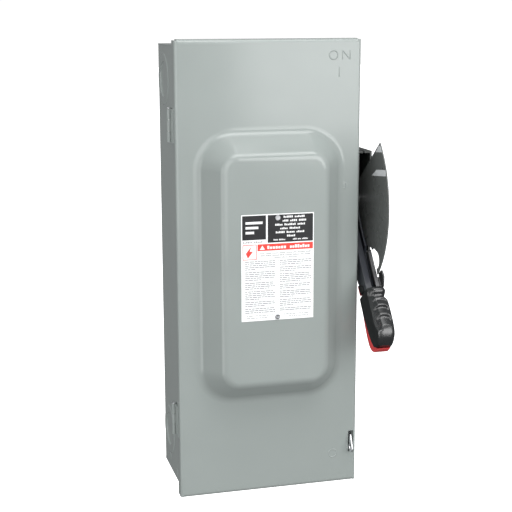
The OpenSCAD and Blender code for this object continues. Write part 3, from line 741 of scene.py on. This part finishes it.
def make_label():
    art = Print(lambda u, v, h: (-42 + u, -141.3 - h, 73 - v), 5)
    art.bar("ink_black", 1, 1, 29, 29)
    for y, left, right in ((8.0, 5.0, 25.0), (13.6, 5.0, 20.0), (19.2, 5.0, 15.0)):
        art.shape("ink_white", [(left, y), (right, y), (right, y + 2.8), (left, y + 2.8)], 0.05)
    art.bar("ink_black", 31, 1, 85, 33)
    for y, left, right in ((2.6, 18.6, 9.6), (7.0, 15.4, 5.7), (11.4, 8.9, 9.4), (15.8, 11.5, 12),
                           (20.2, 8.2, 8.7), (24.6, 22, 20)):
        art.words("ink_white", 31 + left, 85 - right, y, 2.3, (7, 14), 1.9, True, 0.05, 1.9)
    art.words("ink_white", 38, 57, 29.0, 1.7, (4, 8), 1.1, False, 0.05, 1.5)
    art.words("ink_white", 61, 79, 29.0, 1.7, (4, 8), 1.1, False, 0.05, 1.5)
    art.words("ink_grey", 2, 27, 30.6, 2.0, (9, 16), 1.6, False, 0.03, 1.9)
    art.bar("ink_red", 19, 34.3, 85, 42.2)
    art.shape("ink_white", [(21.5, 40.8), (24.7, 35.8), (27.9, 40.8)], 0.05)
    art.words("ink_white", 30, 82, 36.4, 3.8, (22, 24), 4.0, True, 0.05, 3.1)
    box = [(1.5, 34.3), (18, 34.3), (18, 52), (1.5, 52)]
    art.band("ink_red", box, [(2.3, 35.1), (17.2, 35.1), (17.2, 51.2), (2.3, 51.2)])
    art.shape("ink_red", [(11.6, 36.4), (5.2, 44.4), (9.2, 44.4)])
    art.shape("ink_red", [(9.2, 44.4), (5.2, 44.4), (7.6, 50.2)])
    art.shape("ink_red", [(7.6, 50.2), (13.8, 42.2), (9.6, 42.2)])
    for y in (44.4, 47.0, 49.6):
        art.words("ink_grey", 21 + (y > 49) * 18, 84 - (y > 49) * 18, y, 1.6, (4, 10), 1.1, True, 0.03, 1.3)
    for x0, x1 in ((4.2, 40), (45.2, 83.5)):
        y, left = 53.6, 0
        while y < 114:
            if left == 0:
                left = art.chance.choice((3, 4, 5))
                art.bar("ink_grey", x0 - 1.9, y + 0.1, x0 - 1.0, y + 1.0)
            left -= 1
            reach = x1 if left else x0 + (x1 - x0) * art.chance.uniform(0.4, 0.8)
            art.words("ink_grey", x0, reach, y, 1.2, (2.0, 6.5), 0.6)
            y += 2.25 if left else 3.4
    art.bar("ink_grey", 2, 115.4, 84, 115.7)
    art.words("ink_grey", 6, 38, 117.4, 0.9, (1.5, 5), 0.7)
    art.words("ink_grey", 50, 82, 117.4, 0.9, (1.5, 5), 0.7)
    art.words("ink_grey", 6, 30, 120.0, 0.9, (1.5, 5), 0.7)
    art.words("ink_grey", 56, 82, 120.0, 0.9, (1.5, 5), 0.7)
    art.done("label", "label_film", "door")

    sheet = Print(lambda u, v, h: (60 - u, -108.2 + h, 252 - v), 9)
    sheet.words("ink_grey", 30, 90, 5, 2.2, (6, 14), 1.6, True)
    for k in range(3):
        x = 26 + 34 * k
        sheet.bar("ink_black", x, 14, x + 0.6, 26)
        sheet.shape("ink_black", [(x, 26), (x + 0.6, 26), (x + 5.6, 34), (x + 5, 34)])
        sheet.bar("ink_black", x, 36, x + 0.6, 42)
        sheet.band("ink_black", [(x - 2, 42), (x + 2.6, 42), (x + 2.6, 56), (x - 2, 56)],
                   [(x - 1.5, 42.5), (x + 2.1, 42.5), (x + 2.1, 55.5), (x - 1.5, 55.5)])
        sheet.bar("ink_black", x, 56, x + 0.6, 64)
    for k in range(4):
        sheet.words("ink_grey", 8, 112, 67 + 2.8 * k, 1.1, (3, 9), 1.1)
    sheet.done("wiring_print", "paper", "door")


# ---------------------------------------------------------------- handle
TILT = math.radians(39)
COS, SIN = math.cos(TILT), math.sin(TILT)


def on_handle(f, s, x):
    """Handle coordinates: f grows to the back, s down the arm from the shaft, x across."""
    return (x, -47 + f * COS - s * SIN, 70 - f * SIN - s * COS)


# Outlines of the grip: distance down the arm, then depth (or the right-hand side across the box)
GRIP_FRONT = [(127.5, -14.5), (128.6, -16.6), (130.5, -18.0), (133.2, -18.6), (135.8, -17.8),
              (138.2, -15.6), (140.6, -15.2), (143.5, -17.8), (149, -19.3), (160, -19.7), (178, -19.5),
              (186, -18.2), (192, -15.0), (196, -11.5), (199.5, -7.5)]
GRIP_EDGE = [(127.5, -11.0), (132, -12.3), (137, -10.6), (152, -10.6), (170, -11.1), (180, -13.6),
             (189.6, -19.9)]
GRIP_SEAM = [(127.5, 17.0), (148, 17.3), (164, 15.2), (176, 13.6), (186, 11.0), (194, 7.4), (199.5, 3.0),
             (202, -1.0)]
SHELL_BACK = [(128.4, 18.4), (132, 19.0), (145, 19.2), (156, 20.4), (165, 21.7), (177, 22.6), (188, 21.7),
              (194.8, 18.4), (199, 13.5), (202, 7.0)]
SHELL_RIGHT = [(128.4, 132.8), (186, 132.8), (194, 131.6), (199, 129.6), (202, 127.0)]
GRIP_RIGHT = [(127.5, 132.6), (133.5, 133.4), (139.5, 131.8), (147, 133.4), (188, 133.2), (199.5, 130.5)]


def scoop(x, s):
    """Three finger grips: each starts at a curved step and rises slowly below it."""
    dip = 0.0
    for start, reach, depth in ((142.6, 9.5, 3.0), (152.6, 11.5, 3.9), (164.6, 14.0, 3.8)):
        t = (s - start - 3.4 * ((x - 122) / 9) ** 2) / reach
        if 0 < t < 1:
            step = min(1.0, t / 0.34)
            dip = max(dip, depth * step * step * (3 - 2 * step) * (1 - t) ** 0.9)
    sides = min(1.0, max(0.0, (x - 112.5) / 3)) * min(1.0, max(0.0, (132.6 - x) / 4))
    return dip * sides


def grip_section(s, inset=0.0):
    front, seam, right = curve(GRIP_FRONT, s), curve(GRIP_SEAM, s), curve(GRIP_RIGHT, s)
    edge = max(curve(GRIP_EDGE, s), front + 0.5)
    loop = [(111, seam), (111, edge + (seam - edge) * 0.5), (111, edge)]
    count = 26
    for i in range(1, count + 1):
        x = 111 + (right - 111) * (i / count)
        f = front + 0.5 * ((x - 122) / 11) ** 2
        if x < 118:
            f += (edge - front) * ((118 - x) / 7) ** 1.6
        corner = x - (right - 6.5)
        if corner > 0:
            f += 6.5 - math.sqrt(max(0.0, 6.5 ** 2 - corner ** 2))
        loop.append((x, f + scoop(x, s)))
    low = loop[-1][1]
    loop += [(right, low + (seam - low) * k) for k in (0.3, 0.65, 0.95)] + [(right - 1.2, seam)]
    cx, cf = (111 + right) / 2, (front + seam) / 2
    kx, kf = 1 - inset / 11, 1 - inset / 16
    return [(cx + (x - cx) * kx, cf + (f - cf) * kf) for x, f in loop]


def shell_section(s, inset):
    """The red shell behind and under the grip, with its inner side sunk in the black body."""
    low, high = curve(GRIP_SEAM, s) - 2.0, curve(SHELL_BACK, s) - inset
    x0, x1, r = 111.12 + inset, curve(SHELL_RIGHT, s) - inset, 1.8
    outer = arc(x0 + r, high - r, r, 180, 90, 5) + arc(x1 - r, high - r, r, 90, 0, 5)
    return [(x0, low + inset), *outer, (x1, low + inset)]


def make_grip():
    stations = [(127.5, 1.0), (127.8, 0.35), (128.4, 0.0)]
    stations += [(129 + 0.75 * i, 0.0) for i in range(90)]
    stations += [(197.2, 0.3), (198.4, 1.0), (199.2, 2.2), (199.5, 3.8)]
    bm = bmesh.new()
    rows = [[bm.verts.new(on_handle(f, s, x)) for x, f in grip_section(s, inset)] for s, inset in stations]
    count = len(rows[0])
    for a, b in zip(rows, rows[1:]):
        for i in range(count):
            j = (i + 1) % count
            face = bm.faces.new((a[i], a[j], b[j], b[i]))
            face.material_index = 1 if i < 2 else 0
        for i in (0, 2):
            bm.edges.get((a[i], b[i])).smooth = False
    bm.faces.new(rows[0])
    bm.faces.new(rows[-1])
    bmesh.ops.recalc_face_normals(bm, faces=bm.faces)
    body = to_object("grip_body", bm)
    body.data.materials.append(MATERIALS["black_grip"])
    body.data.materials.append(BLACK_PANEL)
    soften(body, 0)
    settle(body, "black_grip", "handle", ["grip_front"])

    ear = [(-1, 127), (-1, 120), (3, 117), (12.5, 112), (12.5, 125), (2, 125.5), (2, 127)]
    slab("grip_ear", on_handle, ear, 111, 125, 1.0, "black_grip", "handle", material=BLACK_PANEL)
    bm = bmesh.new()
    stations = [(128.4, 0.8), (128.8, 0.2), *[(129.5 + 2.0 * i, 0.0) for i in range(35)]]
    stations += [(199, 0.0), (200, 0.0), (201, 0.3), (201.7, 1.0), (202.0, 2.0)]
    rows = [[bm.verts.new(on_handle(f, s, x)) for x, f in shell_section(s, inset)] for s, inset in stations]
    for a, b in zip(rows, rows[1:]):
        for i in range(len(a)):
            j = (i + 1) % len(a)
            bm.faces.new((a[i], a[j], b[j], b[i]))
    bm.faces.new(rows[0])
    bm.faces.new(rows[-1])
    bmesh.ops.recalc_face_normals(bm, faces=bm.faces)
    shell = to_object("grip_shell", bm)
    soften(shell, 0)
    settle(shell, "red_grip", "handle", ["grip_back"])
    # a folded lip that widens the front of the stay
    slab("stay_lip", on_handle, [(-14.5, 80), (-12.6, 80), (-12.6, 127.4), (-14.5, 127.4)], 122.6, 125.4, 0.5,
         "grey_arm", "handle")
    slab("grip_shell_ear", on_handle, [(12.3, 112.5), (15, 112), (15, 125), (12.3, 125)], 111.2, 124.8, 0.7,
         "red_grip", "handle")


# ---------------------------------------------------------------- springs
def helix(centre, axis, radius, turns, length, start=0.0, n=20):
    axis = Vector(axis).normalized()
    a = axis.orthogonal().normalized()
    b = axis.cross(a)
    steps = int(turns * n)
    return [Vector(centre) + axis * (length * i / steps)
            + radius * (math.cos(start + 2 * PI * i / n) * a + math.sin(start + 2 * PI * i / n) * b)
            for i in range(steps + 1)]


def make_springs():
    low, high = Vector((81.5, -47, 10)), Vector((81.5, -60.99, 81.33))
    axis = (high - low).normalized()
    side = Vector((1, 0, 0)).cross(axis)
    length = (high - low).length
    hook_low = [low + 4.2 * (math.cos(a) * axis + math.sin(a) * side)
                for a in (math.radians(330 - 15 * i) for i in range(0, 23))]
    coil = helix(low + axis * 13, axis, 3.6, 17, length - 26)
    hook_high = [high - 4.2 * (math.cos(a) * axis + math.sin(a) * side)
                 for a in (math.radians(15 * i) for i in range(0, 23))]
    path = hook_low + [low + axis * 8] + coil + [high - axis * 8] + hook_high
    tube("toggle_coil", path, 1.3, "spring_wire", "spring", ["toggle_spring"])
    coil = helix((99.3, -80, -222), (1, 0, 0), 3.4, 2.25, 1.4, 0.0, 24)
    tube("latch_coil", [Vector((99.3, -74, -221.4)) + Vector((0, 6.2, 0))] + coil, 0.4, "spring_wire", "box",
         ["latch_spring"])


# ---------------------------------------------------------------- put together
BLACK_PANEL = moulded("black_panel", (0.007, 0.008, 0.009), rough=(0.5, 0.62), grain=900.0,
                      depth=0.00004, specular=0.25)
# CAD nodes that only get round edges, with the rounding in millimetres
CRISP = {
    "end_wall_top": 0.3, "end_wall_bottom": 0.3, "hinge_leaves_box": 0.45, "hinge_leaves_door": 0.45,
    "hinge_pins": 0.3, "latch_bracket": 0.3, "latch_pin": 0.3, "latch_loop": 0.8, "mounting_pan": 0.3,
    "line_base": 1.2, "fuse_base": 1.2, "load_base": 1.2, "line_lugs": 0.6, "load_lugs": 0.6,
    "line_lug_screws": 0.3, "load_lug_screws": 0.3, "line_jaws": 0.3, "arc_chutes": 0.25, "line_shield": 0.4,
    "hinge_contacts": 0.3, "fuse_clips_upper": 0.3, "fuse_clips_lower": 0.3, "fuse_bodies": 1.2,
    "fuse_blades": 0.4, "base_screws": 0.4, "ground_bar": 0.6, "ground_screws": 0.4, "mechanism_frame": 0.4,
    "frame_screws": 0.4, "spring_post": 0.4, "handle_housing": 0.7, "housing_screws": 0.4,
    "shaft_bushing": 0.5,
    # dial_strips are painted highlights: pale strips in place of patches of light and reflection on the dial
    # plate's inner face
    "dial_plate": 0.3, "dial_strips": 0.1, "handle_shaft": 0.6, "arm_inner": 0.6, "arm_outer": 0.5,
    "grip_screws": 0.4, "lock_plate": 0.6, "shaft_nut": 0.7, "crank": 0.5, "interlock_cam": 0.4,
    "drive_link": 0.5, "crossbar": 0.8, "blades": 0.3, "rotor_lever": 0.5, "interlock_hook": 0.4,
    "label_plate": 0.1, "label_rivets": 0.35, "wiring_sheet": 0.1,
}


def build():
    make_door()
    make_box()
    make_label()
    make_grip()
    make_springs()
    for node, width in CRISP.items():
        crisp(node, width, material=DIAL_PAINT if node == "dial_plate" else None)
    for node in sorted(set(NODES) - DONE):
        NODES[node].data.materials.clear()
        NODES[node].data.materials.append(MATERIALS[SLOT_OF[node]])


make_camera()
make_stage()
bpy.context.scene.view_settings.view_transform = "Standard"
build()
